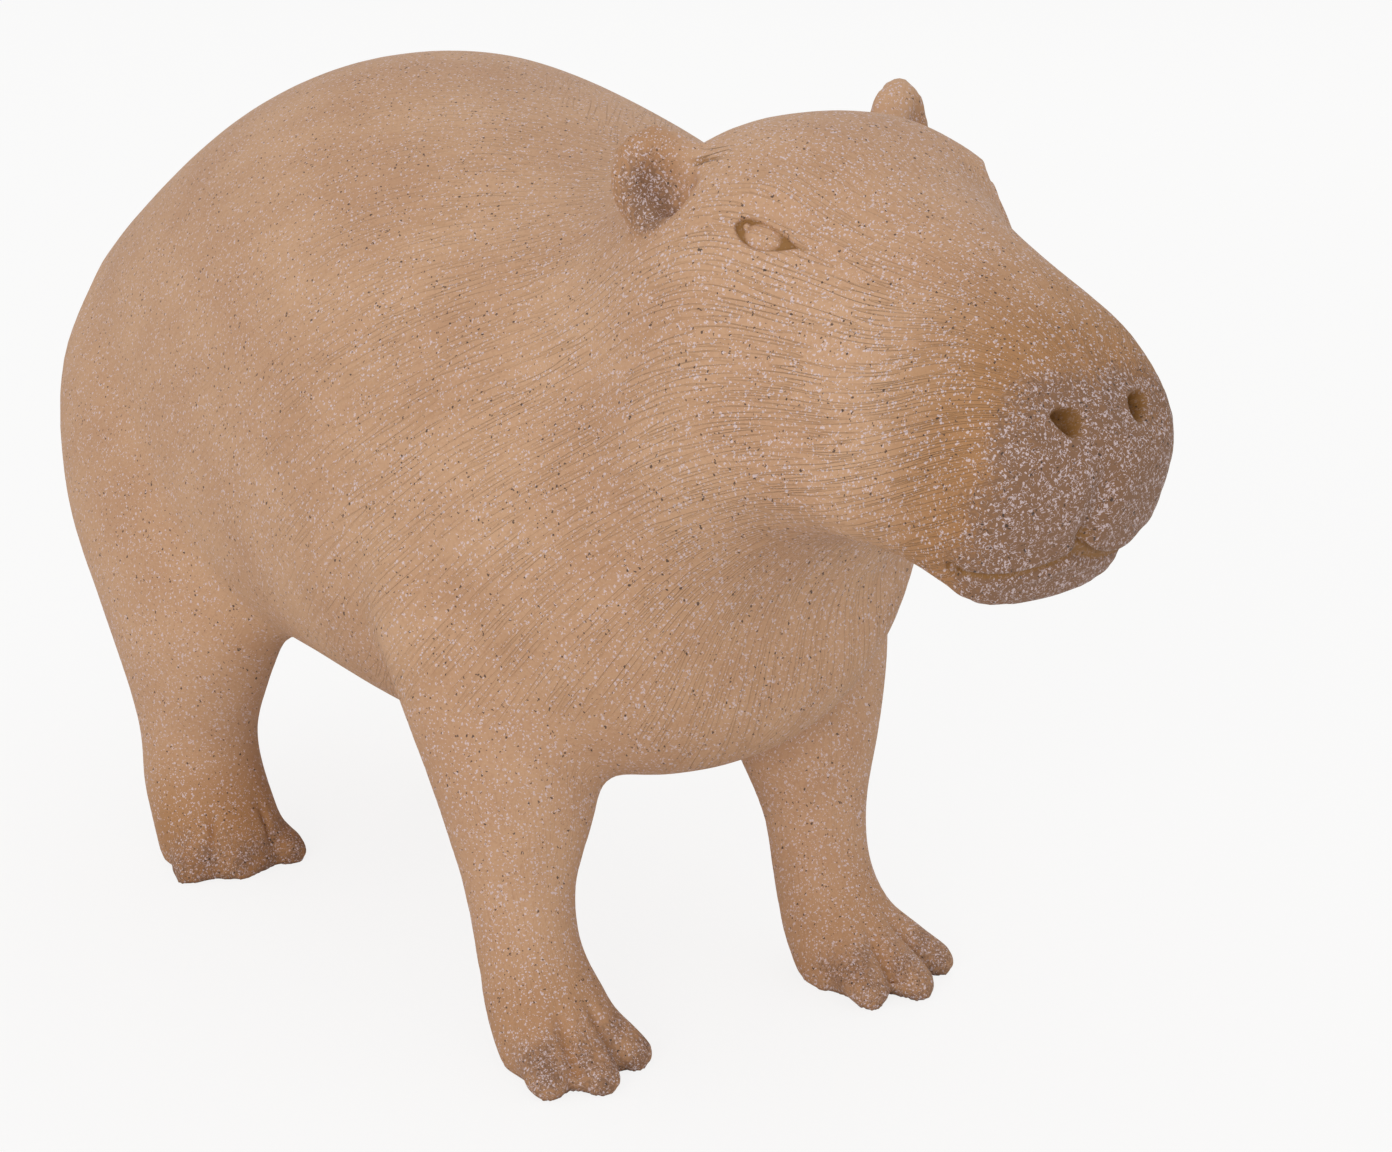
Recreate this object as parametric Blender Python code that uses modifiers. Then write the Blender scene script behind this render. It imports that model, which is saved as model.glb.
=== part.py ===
"""Capybara sculpture, cast in one piece and standing on four short legs, with its head looking ahead."""

from collections import namedtuple
from math import cos, pi, radians, sin

import bmesh
import bpy
from mathutils import Matrix, Vector
from mathutils.bvhtree import BVHTree

# Sizes are in millimetres: +X is ahead, +Y the animal's left, +Z up, and the soles stand on Z = 0
MM = 0.001

# A section of the trunk or head: its highest and lowest points (x, z), half its width, the share of
# its height at which it is widest, and the power that squares its corners (2 is an ellipse)
Section = namedtuple("Section", "top low half_width widest squareness")
RUMP_TIP = Section((-149, 94), (-149, 93), 0, 0.50, 2.1)
RUMP = Section((-146, 112), (-147, 76), 20, 0.50, 2.1)
TAIL_ROOT = Section((-131, 130), (-135, 60), 35, 0.46, 2.1)
HIP = Section((-104, 144.5), (-108, 52), 46, 0.44, 2.2)
LOIN = Section((-67, 163.3), (-73, 48), 52, 0.42, 2.2)
BARREL = Section((-30, 171.5), (-29, 46), 55, 0.44, 2.2)
WITHERS = Section((8, 166.1), (14, 45), 56, 0.46, 2.2)
SHOULDER = Section((36, 158.1), (54, 48), 50, 0.50, 2.2)
NECK = Section((54, 158), (74.5, 61), 41.5, 0.50, 2.3)
NAPE = Section((67, 164.5), (82, 84), 37.5, 0.44, 2.4)
CROWN = Section((82, 171.8), (90.5, 95.5), 37, 0.42, 2.5)
BROW = Section((99, 171.8), (100, 102.8), 35, 0.40, 2.5)
FACE = Section((114, 165), (113, 106.5), 29, 0.25, 2.1)
BRIDGE = Section((131, 157.5), (127, 106.4), 23.8, 0.24, 2.15)
NOSE = Section((147.5, 147), (137.5, 104), 22, 0.50, 2.8)
MUZZLE = Section((158.2, 134.8), (146.5, 103.2), 18.5, 0.52, 2.8)
MUZZLE_TIP = Section((160.2, 123), (159.7, 122), 0, 0.50, 2.4)
TRUNK = [
    RUMP_TIP, RUMP, TAIL_ROOT, HIP, LOIN, BARREL, WITHERS, SHOULDER, NECK,
    NAPE, CROWN, BROW, FACE, BRIDGE, NOSE, MUZZLE, MUZZLE_TIP,
]

# A level slice of a right leg, from the hip or shoulder down: its middle, and its half length and width
Slice = namedtuple("Slice", "x y z half_length half_width")
FORE_LEG = [
    Slice(22, -29, 124, 18, 15),
    Slice(26, -33, 106, 22, 20),
    Slice(34.5, -35, 80, 20, 19),
    Slice(41, -33.5, 60, 16.5, 17.4),
    Slice(44, -32.7, 46, 13.2, 15.2),
    Slice(45.7, -33.9, 30, 9.8, 10.4),
    Slice(48.8, -33.9, 18, 10.4, 9.8),
    Slice(55.3, -33.8, 8.5, 12.2, 11.8),
    Slice(60, -34, -3, 10.9, 10.5),
]
HIND_LEG = [
    Slice(-88, -27, 122, 34, 14),
    Slice(-84, -33, 101, 41, 20),
    Slice(-80, -37, 76, 36, 20),
    Slice(-74, -38, 55, 28, 17.3),
    Slice(-74, -38, 39, 18.5, 14),
    Slice(-75.5, -37.5, 26, 13.5, 12),
    Slice(-73, -37.7, 16, 15.2, 12.6),
    Slice(-69, -37.5, 8, 15.8, 13),
    Slice(-67.5, -37.5, -3, 13.4, 11.8),
]

# Toes, from the middle of the foot to each tip
TOE_ROOT_HALF_WIDTH = 7.2
TOE_ROOT_HEIGHT = 10
TOE_TIP_HALF_WIDTH = 4.2
TOE_TIP_HEIGHT = 2.6
TOE_FLATNESS = 0.8
FORE_TOE_ROOT_X = 54
FORE_TOES_RIGHT = [(68.2, -42.9), (72, -34.5), (67, -24)]
FORE_TOES_LEFT = [(67, 47.3), (73.5, 37), (71.6, 27.2)]
HIND_TOE_ROOT_X = -68
HIND_TOES = [(-60, -48.5), (-56.5, -39), (-58, -26.3)]
TOE_SPREAD = 0.72

# Ears: cupped leaves that lean back and out, the left one a little more upright
EAR_ROOT = (82.5, -24, 154)
RIGHT_EAR_TIP = (77, -28, 169.8)
LEFT_EAR_TIP = (74.3, 25.4, 173.5)
EAR_HALF_WIDTH = 8.6
EAR_HALF_THICKNESS = 4.4
EAR_SUNK = 1.5
EAR_RIM = 1.8
EAR_CUP_HALF_WIDTH = 5
EAR_CUP_LEAN = 0.3
EAR_CUP_OUT = 6.1
EAR_CUP_LIFT = 0.8
EAR_CUP_ASIDE = 0.3
EAR_FACING = (0.92, -0.38, 0.1)

# Brow ridges over the eyes, and the eyes as almonds from the rear corner to the front one
BROW_RIDGE = (100.2, -18.3, 160)
BROW_RIDGE_RADII = (8.5, 7.5, 7)
EYE_REAR = (102.1, -27.1, 157.3)
EYE_FRONT = (109.9, -21.9, 154.8)
EYE_HALF_HEIGHT = 2.9
SOCKET_DEPTH = 1.8
SOCKET_POINT = 1.6
EYEBALL_LENGTH_SHARE = 0.62
EYEBALL_HEIGHT_SHARE = 0.82
EYEBALL_BACK_SHARE = 0.16
EYEBALL_SUNK = 1.35
EYEBALL_RISE = 0.35

# Nostrils, the groove from the nose to the lip, and the mouth
AIR_AHEAD = 10
OPEN_AIR_X = MUZZLE_TIP.top[0] + AIR_AHEAD
NOSTRIL = (OPEN_AIR_X, -7.6, 135.2)
NOSTRIL_HALF_LENGTH = 3.0
NOSTRIL_HALF_HEIGHT = 2.1
NOSTRIL_DEPTH = 3.2
NOSTRIL_SLANT = (0.1, -0.75, 0.66)
NOSTRIL_POINT = 1.3
CHIN_HEIGHT = 9.7
LIP_Z = MUZZLE.low[1] + CHIN_HEIGHT
GROOVE_LENGTH = 15
GROOVE_TOP_Z = LIP_Z + GROOVE_LENGTH
GROOVE_RADIUS = 1.1
MOUTH_MIDDLE_X = 128
MOUTH_BEND_Z = -1.6
MOUTH_CORNER_Z = -0.5
MOUTH_CORNER_TURN = 47
MOUTH_RADIUS = 0.9

# The block under the soles reaches past the figure all round
GROUND_LENGTH = 1.3 * (MUZZLE_TIP.top[0] - RUMP_TIP.top[0])
GROUND_WIDTH = 3 * WITHERS.half_width
GROUND_DEPTH = -5 * FORE_LEG[-1].z

# Points round each ring, and steps from one section to the next
TRUNK_SIDES = 48
TRUNK_STEPS = 5
LEG_SIDES = 28
LEG_STEPS = 4
MOUTH_STEPS = 20
GROOVE_STEPS = 8
TOE_SEGMENTS = 20
TOE_RINGS = 14
EGG_SEGMENTS = 18
EGG_RINGS = 12

# Grain of the two remeshes, and the faces that the finished figure keeps
BODY_GRAIN = 1.6
BODY_SOFTENING = 12
SKIN_GRAIN = 1.1
SKIN_SOFTENING = 3
FIGURE_FACES = 9000


def clear_scene():
    for obj in list(bpy.data.objects):
        bpy.data.objects.remove(obj)


def new_collection(name, owner):
    made = bpy.data.collections.new(name)
    owner.children.link(made)
    return made


def object_of(name, mesh, collection):
    obj = bpy.data.objects.new(name, mesh)
    collection.objects.link(obj)
    return obj


def blend(rows, steps):
    """Catmull-Rom curve through rows of numbers, with this many steps from one row to the next."""
    rows = [Vector(row) for row in rows]
    rows = [2 * rows[0] - rows[1]] + rows + [2 * rows[-1] - rows[-2]]
    found = []
    for i in range(1, len(rows) - 2):
        a, b, c, d = rows[i - 1 : i + 3]
        for step in range(steps):
            t = step / steps
            bend = (2 * a - 5 * b + 4 * c - d) * t**2 + (3 * b - a - 3 * c + d) * t**3
            found.append((2 * b + (c - a) * t + bend) / 2)
    return found + [rows[-2]]


def powered(value, power):
    return abs(value) ** power if value >= 0 else -(abs(value) ** power)


def trunk_ring(row, around):
    x_top, z_top, x_low, z_low, half_width, widest, squareness = row
    ring = []
    for i in range(around):
        turn = 2 * pi * i / around
        up = powered(cos(turn), 2 / squareness)
        side = powered(sin(turn), 2 / squareness)
        share = widest + ((1 - widest) if up > 0 else widest) * up
        x = x_low + (x_top - x_low) * share
        z = z_low + (z_top - z_low) * share
        ring.append(Vector((x, max(half_width, 0) * side, z)))
    return ring


def leg_ring(row, around):
    x, y, z, half_length, half_width = row
    turns = [2 * pi * i / around for i in range(around)]
    return [Vector((x + half_length * cos(turn), y + half_width * sin(turn), z)) for turn in turns]


def loft(name, rings, collection):
    """Closed skin over rings of equal count, with a cap on the first and the last."""
    bm = bmesh.new()
    rows = [[bm.verts.new(point * MM) for point in ring] for ring in rings]
    for near, far in zip(rows, rows[1:]):
        for i in range(len(near)):
            j = (i + 1) % len(near)
            bm.faces.new((near[i], near[j], far[j], far[i]))
    bm.faces.new(rows[0])
    bm.faces.new(rows[-1])
    bmesh.ops.remove_doubles(bm, verts=bm.verts, dist=0.00001)
    bmesh.ops.recalc_face_normals(bm, faces=bm.faces)
    mesh = bpy.data.meshes.new(name)
    bm.to_mesh(mesh)
    bm.free()
    return object_of(name, mesh, collection)


def trunk(collection):
    rows = [(*s.top, *s.low, s.half_width, s.widest, s.squareness) for s in TRUNK]
    return loft("trunk", [trunk_ring(row, TRUNK_SIDES) for row in blend(rows, TRUNK_STEPS)], collection)


def leg(name, slices, collection):
    return loft(name, [leg_ring(row, LEG_SIDES) for row in blend(slices, LEG_STEPS)], collection)


def rounded_bar(name, start, end, start_radius, end_radius, flatness, collection):
    """A bar with a round end of its own radius at each end, made lower than it is wide."""
    start = Vector(start)
    along = Vector(end) - start
    bm = bmesh.new()
    bmesh.ops.create_uvsphere(bm, u_segments=TOE_SEGMENTS, v_segments=TOE_RINGS, radius=1)
    for vert in bm.verts:
        ahead = vert.co.z > 0.001
        vert.co *= end_radius if ahead else start_radius
        vert.co.z += along.length if ahead else 0
        vert.co.y *= flatness
    turn = along.to_track_quat("Z", "Y").to_matrix().to_4x4()
    bm.transform(Matrix.Scale(MM, 4) @ Matrix.Translation(start) @ turn)
    mesh = bpy.data.meshes.new(name)
    bm.to_mesh(mesh)
    bm.free()
    return object_of(name, mesh, collection)


def toes(name, root_x, foot_y, tips, collection):
    made = []
    for i, (x, y) in enumerate(tips):
        root = (root_x, foot_y + (y - foot_y) * (1 - TOE_SPREAD), TOE_ROOT_HEIGHT)
        tip = (x, y, TOE_TIP_HEIGHT)
        widths = (TOE_ROOT_HALF_WIDTH, TOE_TIP_HALF_WIDTH)
        made.append(rounded_bar(f"{name}_{i + 1}", root, tip, *widths, TOE_FLATNESS, collection))
    return made


def mirrored(points):
    return [(x, -y) for x, y in points]


def opposite(slices):
    return [s._replace(y=-s.y) for s in slices]


def ellipsoid(name, middle, radii, axes, collection, pointed=1):
    """Egg on three axes; with pointed over 1 the ends of the first axis come to a point."""
    bm = bmesh.new()
    bmesh.ops.create_uvsphere(bm, u_segments=EGG_SEGMENTS, v_segments=EGG_RINGS, radius=1)
    bm.transform(Matrix.Rotation(radians(90), 4, "Y"))
    for vert in bm.verts:
        slim = max(1 - vert.co.x**2, 0) ** ((pointed - 1) / 2)
        vert.co = Vector((vert.co.x, vert.co.y * slim, vert.co.z * slim))
    turn = Matrix(axes).transposed().to_4x4()
    size = Matrix.Diagonal((*radii, 1))
    bm.transform(Matrix.Scale(MM, 4) @ Matrix.Translation(middle) @ turn @ size)
    mesh = bpy.data.meshes.new(name)
    bm.to_mesh(mesh)
    bm.free()
    return object_of(name, mesh, collection)


def on_side(point, side):
    """The point on the animal's right, or its mirror image on the left for a side of -1."""
    return Vector((point[0], point[1] * side, point[2]))


def axes_from(forward, outward):
    """Three square axes: outward, and forward made square to it."""
    outward = Vector(outward).normalized()
    forward = Vector(forward)
    forward = (forward - outward * forward.dot(outward)).normalized()
    return forward, outward.cross(forward), outward


def ear_frame(side):
    root = on_side(EAR_ROOT, side)
    tip = Vector(RIGHT_EAR_TIP if side > 0 else LEFT_EAR_TIP)
    up, across, outward = axes_from(tip - root, on_side(EAR_FACING, side))
    return (root + tip) / 2, (tip - root).length / 2, (across, outward, up)


def ear(name, side, collection):
    middle, half_height, axes = ear_frame(side)
    radii = (EAR_HALF_WIDTH, EAR_HALF_THICKNESS, half_height + EAR_SUNK)
    return ellipsoid(name, middle, radii, axes, collection)


def ear_cup(name, side, collection):
    """The valley of the ear, which leans over between a thick rim towards the head and the outer lobe."""
    middle, half_height, axes = ear_frame(side)
    across, outward, up = axes
    radii = (EAR_CUP_HALF_WIDTH, EAR_HALF_THICKNESS, half_height - EAR_RIM)
    shift = outward * EAR_CUP_OUT + up * EAR_CUP_LIFT + across * EAR_CUP_ASIDE * side
    lean, across, outward = axes_from(up + across * EAR_CUP_LEAN * side, outward)
    return ellipsoid(name, middle + shift, radii, (across, outward, lean), collection)


def brow_ridge(name, side, collection):
    return ellipsoid(name, on_side(BROW_RIDGE, side), BROW_RIDGE_RADII, Matrix.Identity(3), collection)


def skin_of(obj):
    bm = bmesh.new()
    bm.from_mesh(obj.data)
    tree = BVHTree.FromBMesh(bm)
    bm.free()
    return tree


def nearest_skin(skin, point):
    """The point of the skin nearest to this one, and the way out of the skin there."""
    found, outward = skin.find_nearest(Vector(point) * MM)[:2]
    return found / MM, outward


def skin_along(skin, start, way):
    """Where a line from outside meets the skin, and the way out of the skin there."""
    found, outward = skin.ray_cast(Vector(start) * MM, Vector(way))[:2]
    return found / MM, outward


def eye_frame(skin, side):
    rear = nearest_skin(skin, on_side(EYE_REAR, side))[0]
    front = nearest_skin(skin, on_side(EYE_FRONT, side))[0]
    middle, outward = nearest_skin(skin, (rear + front) / 2)
    return middle, (front - rear).length / 2, axes_from(front - rear, outward)


def eye_socket(name, skin, side, collection):
    middle, half_length, axes = eye_frame(skin, side)
    radii = (half_length, EYE_HALF_HEIGHT, SOCKET_DEPTH)
    return ellipsoid(name, middle, radii, axes, collection, pointed=SOCKET_POINT)


def eyeball(name, skin, side, collection):
    middle, half_length, axes = eye_frame(skin, side)
    half_height = EYE_HALF_HEIGHT * EYEBALL_HEIGHT_SHARE
    radii = (half_length * EYEBALL_LENGTH_SHARE, half_height, SOCKET_DEPTH + EYEBALL_RISE)
    back = axes[0] * half_length * EYEBALL_BACK_SHARE + axes[2] * EYEBALL_SUNK
    return ellipsoid(name, middle - back, radii, axes, collection)


def nostril(name, skin, side, collection):
    middle, outward = skin_along(skin, on_side(NOSTRIL, side), (-1, 0, 0))
    radii = (NOSTRIL_HALF_LENGTH, NOSTRIL_HALF_HEIGHT, NOSTRIL_DEPTH)
    axes = axes_from(on_side(NOSTRIL_SLANT, side), outward)
    return ellipsoid(name, middle, radii, axes, collection, pointed=NOSTRIL_POINT)


def tube(name, points, radius, collection):
    """Round tube through the points, with filled ends."""
    curve = bpy.data.curves.new(name, "CURVE")
    curve.dimensions = "3D"
    curve.bevel_depth = radius * MM
    curve.bevel_resolution = 1
    curve.use_fill_caps = True
    line = curve.splines.new("POLY")
    line.points.add(len(points) - 1)
    for place, point in zip(line.points, points):
        place.co = (*(point * MM), 1)
    drawn = object_of(name + "_line", curve, collection)
    graph = bpy.context.evaluated_depsgraph_get()
    mesh = bpy.data.meshes.new_from_object(drawn.evaluated_get(graph))
    bpy.data.objects.remove(drawn)
    return object_of(name, mesh, collection)


def mouth_points(skin):
    """The lip line round the muzzle, from one corner to the other, bowed down on each side."""
    points = []
    for i in range(MOUTH_STEPS + 1):
        share = 2 * i / MOUTH_STEPS - 1
        turn = radians(MOUTH_CORNER_TURN) * share
        reach = abs(share)
        z = LIP_Z + MOUTH_BEND_Z * sin(pi * reach) + (MOUTH_CORNER_Z + MOUTH_BEND_Z) * reach
        way = Vector((cos(turn), sin(turn), 0))
        start = Vector((MOUTH_MIDDLE_X, 0, z)) + way * (OPEN_AIR_X - MOUTH_MIDDLE_X)
        points.append(skin_along(skin, start, -way)[0])
    return points


def groove_points(skin):
    """The short groove down the middle of the nose to the lip."""
    heights = [LIP_Z + (GROOVE_TOP_Z - LIP_Z) * i / GROOVE_STEPS for i in range(GROOVE_STEPS + 1)]
    return [skin_along(skin, (OPEN_AIR_X, 0, z), (-1, 0, 0))[0] for z in heights]


def combine(figure, tools, operation):
    """One exact Boolean of the figure with all the shapes of a collection."""
    modifier = figure.modifiers.new(tools.name, "BOOLEAN")
    modifier.operation = operation
    modifier.solver = "EXACT"
    modifier.operand_type = "COLLECTION"
    modifier.collection = tools
    for tool in tools.objects:
        tool.display_type = "WIRE"
        tool.hide_render = True
        tool.parent = figure.parent


def ground(name, collection):
    """A block whose top is the ground, which cuts the soles flat."""
    bm = bmesh.new()
    bmesh.ops.create_cube(bm, size=1)
    size = Matrix.Diagonal((GROUND_LENGTH, GROUND_WIDTH, GROUND_DEPTH, 1))
    bm.transform(Matrix.Scale(MM, 4) @ Matrix.Translation((0, 0, -GROUND_DEPTH / 2)) @ size)
    mesh = bpy.data.meshes.new(name)
    bm.to_mesh(mesh)
    bm.free()
    return object_of(name, mesh, collection)


def centred(figure):
    """An empty that carries the figure and its cutters, with the middle of the length on the origin."""
    lengths = [vert.co.x for vert in figure.data.vertices]
    middle = bpy.data.objects.new("middle", None)
    middle.location.x = -(min(lengths) + max(lengths)) / 2
    figure.users_collection[0].objects.link(middle)
    figure.parent = middle


def fused(name, parts, grain, smoothing, collection):
    """One skin over overlapping closed shapes, with the seams between them softened."""
    bm = bmesh.new()
    for part in parts:
        bm.from_mesh(part.data)
        bpy.data.objects.remove(part)
    mesh = bpy.data.meshes.new(name)
    bm.to_mesh(mesh)
    bm.free()
    obj = object_of(name, mesh, collection)
    remesh = obj.modifiers.new("one skin", "REMESH")
    remesh.mode = "VOXEL"
    remesh.voxel_size = grain * MM
    soften = obj.modifiers.new("soft seams", "SMOOTH")
    soften.iterations = int(smoothing)
    graph = bpy.context.evaluated_depsgraph_get()
    obj.data = bpy.data.meshes.new_from_object(obj.evaluated_get(graph))
    obj.modifiers.clear()
    return obj


def cast_stone():
    material = bpy.data.materials.new("speckled tan cast stone")
    material.use_nodes = True
    shader = material.node_tree.nodes["Principled BSDF"]
    shader.inputs["Base Color"].default_value = (0.54, 0.33, 0.2, 1)
    shader.inputs["Roughness"].default_value = 0.8
    shader.inputs["Metallic"].default_value = 0
    return material


def body_forms(collection):
    return [
        trunk(collection),
        leg("fore_leg_right", FORE_LEG, collection),
        leg("fore_leg_left", opposite(FORE_LEG), collection),
        leg("hind_leg_right", HIND_LEG, collection),
        leg("hind_leg_left", opposite(HIND_LEG), collection),
        brow_ridge("brow_ridge_right", 1, collection),
        brow_ridge("brow_ridge_left", -1, collection),
    ]


def ears_and_toes(collection):
    fore_y = FORE_LEG[-1].y
    hind_y = HIND_LEG[-1].y
    made = [ear("ear_right", 1, collection), ear("ear_left", -1, collection)]
    made += toes("fore_toe_right", FORE_TOE_ROOT_X, fore_y, FORE_TOES_RIGHT, collection)
    made += toes("fore_toe_left", FORE_TOE_ROOT_X, -fore_y, FORE_TOES_LEFT, collection)
    made += toes("hind_toe_right", HIND_TOE_ROOT_X, hind_y, HIND_TOES, collection)
    made += toes("hind_toe_left", HIND_TOE_ROOT_X, -hind_y, mirrored(HIND_TOES), collection)
    return made


def add_hollows(skin, collection):
    for side, word in ((1, "right"), (-1, "left")):
        ear_cup("ear_cup_" + word, side, collection)
        eye_socket("eye_socket_" + word, skin, side, collection)
        nostril("nostril_" + word, skin, side, collection)
    tube("nose_groove", groove_points(skin), GROOVE_RADIUS, collection)
    tube("mouth", mouth_points(skin), MOUTH_RADIUS, collection)
    ground("ground", collection)


def build():
    clear_scene()
    scene = bpy.context.scene.collection
    shown = new_collection("capybara_sculpture", scene)
    cutters = new_collection("cutters", scene)
    cutters.hide_render = True
    hollows = new_collection("hollows", cutters)
    eyeballs = new_collection("eyeballs", cutters)
    body = fused("body", body_forms(shown), BODY_GRAIN, BODY_SOFTENING, shown)
    figure = fused("capybara_figure", [body] + ears_and_toes(shown), SKIN_GRAIN, SKIN_SOFTENING, shown)
    centred(figure)
    skin = skin_of(figure)
    fewer = figure.modifiers.new("fewer faces", "DECIMATE")
    fewer.ratio = FIGURE_FACES / (2 * len(figure.data.polygons))
    add_hollows(skin, hollows)
    eyeball("eyeball_right", skin, 1, eyeballs)
    eyeball("eyeball_left", skin, -1, eyeballs)
    combine(figure, hollows, "DIFFERENCE")
    combine(figure, eyeballs, "UNION")
    figure.data.materials.append(cast_stone())


build()
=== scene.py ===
from math import cos, radians, sin

import bpy
import bmesh
import numpy as np
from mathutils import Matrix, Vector


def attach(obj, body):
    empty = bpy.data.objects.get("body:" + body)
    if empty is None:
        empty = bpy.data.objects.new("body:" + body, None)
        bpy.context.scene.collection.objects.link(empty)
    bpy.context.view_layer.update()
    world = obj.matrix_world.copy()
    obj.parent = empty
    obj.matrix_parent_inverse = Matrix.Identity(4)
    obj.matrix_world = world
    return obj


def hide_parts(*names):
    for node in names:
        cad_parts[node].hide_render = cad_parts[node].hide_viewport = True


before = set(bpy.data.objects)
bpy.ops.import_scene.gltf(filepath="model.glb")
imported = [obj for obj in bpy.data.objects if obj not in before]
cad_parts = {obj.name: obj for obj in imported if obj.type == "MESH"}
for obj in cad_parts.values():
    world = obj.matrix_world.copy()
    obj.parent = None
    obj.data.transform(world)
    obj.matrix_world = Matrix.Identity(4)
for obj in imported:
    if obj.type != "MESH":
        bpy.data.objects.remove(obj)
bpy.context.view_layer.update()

scene = bpy.context.scene
print("frame loaded")

# The frame is in metres. The carving and the stone are in millimetres.
toMetres = 0.001
toMillimetres = 1000

# Camera: a long lens above chest height, ahead of the animal's right shoulder (millimetres and degrees)
camera = {
    "lookAt": (42.4, 4.0, 82.9),
    "distance": 551.0,
    "turn": 35.8,              # from straight ahead towards the animal's right
    "rise": 16.4,              # above the floor
    "focalPixels": 3004.0,
    "imageWidth": 1392.0,
    "sensor": 36.0,
    "clip": (0.05, 60.0),      # m
}


def placeCamera(c):
    turn, rise = radians(c["turn"]), radians(c["rise"])
    back = Vector((cos(turn) * cos(rise), -sin(turn) * cos(rise), sin(rise)))
    data = bpy.data.cameras.new("studioCamera")
    data.sensor_width = c["sensor"]
    data.lens = c["focalPixels"] * c["sensor"] / c["imageWidth"]
    data.clip_start, data.clip_end = c["clip"]
    obj = bpy.data.objects.new("studioCamera", data)
    obj.location = (Vector(c["lookAt"]) + back * c["distance"]) * toMetres
    obj.rotation_euler = (-back).to_track_quat("-Z", "Y").to_euler()
    scene.collection.objects.link(obj)
    scene.camera = obj


placeCamera(camera)
print("camera placed")

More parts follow.
